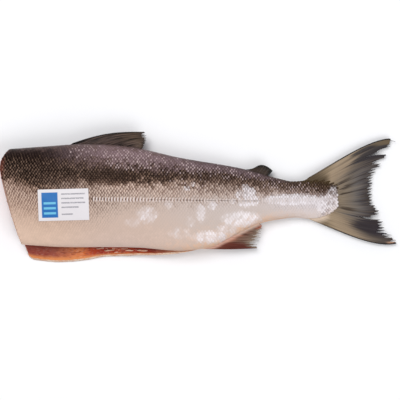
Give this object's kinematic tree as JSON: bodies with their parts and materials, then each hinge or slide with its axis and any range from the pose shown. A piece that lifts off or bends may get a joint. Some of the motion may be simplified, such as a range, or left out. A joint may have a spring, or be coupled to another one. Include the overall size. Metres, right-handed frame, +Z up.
{
  "type": "raw sockeye salmon",
  "caption": "Raw sockeye salmon, headed and gutted, lying on its side with silver scaled skin, a slit belly, folded fins, a frayed spread tail and a plain paper label.",
  "frame": {"origin": "middle of the fish's bounding box, on the table it lies on", "axes": "+X along the fish towards the tail, +Y towards its back, +Z up out of its left flank"},
  "size_m": [0.496, 0.1634, 0.0569],
  "materials": {
    "skin": "wet silver scales, dark grey-brown on the back and pale on the belly",
    "label_paper": "smooth white paper with plain blue and grey print"
  },
  "bodies": {
    "root": {"salmon": "skin", "label": "label_paper"}
  },
  "joints": []
}
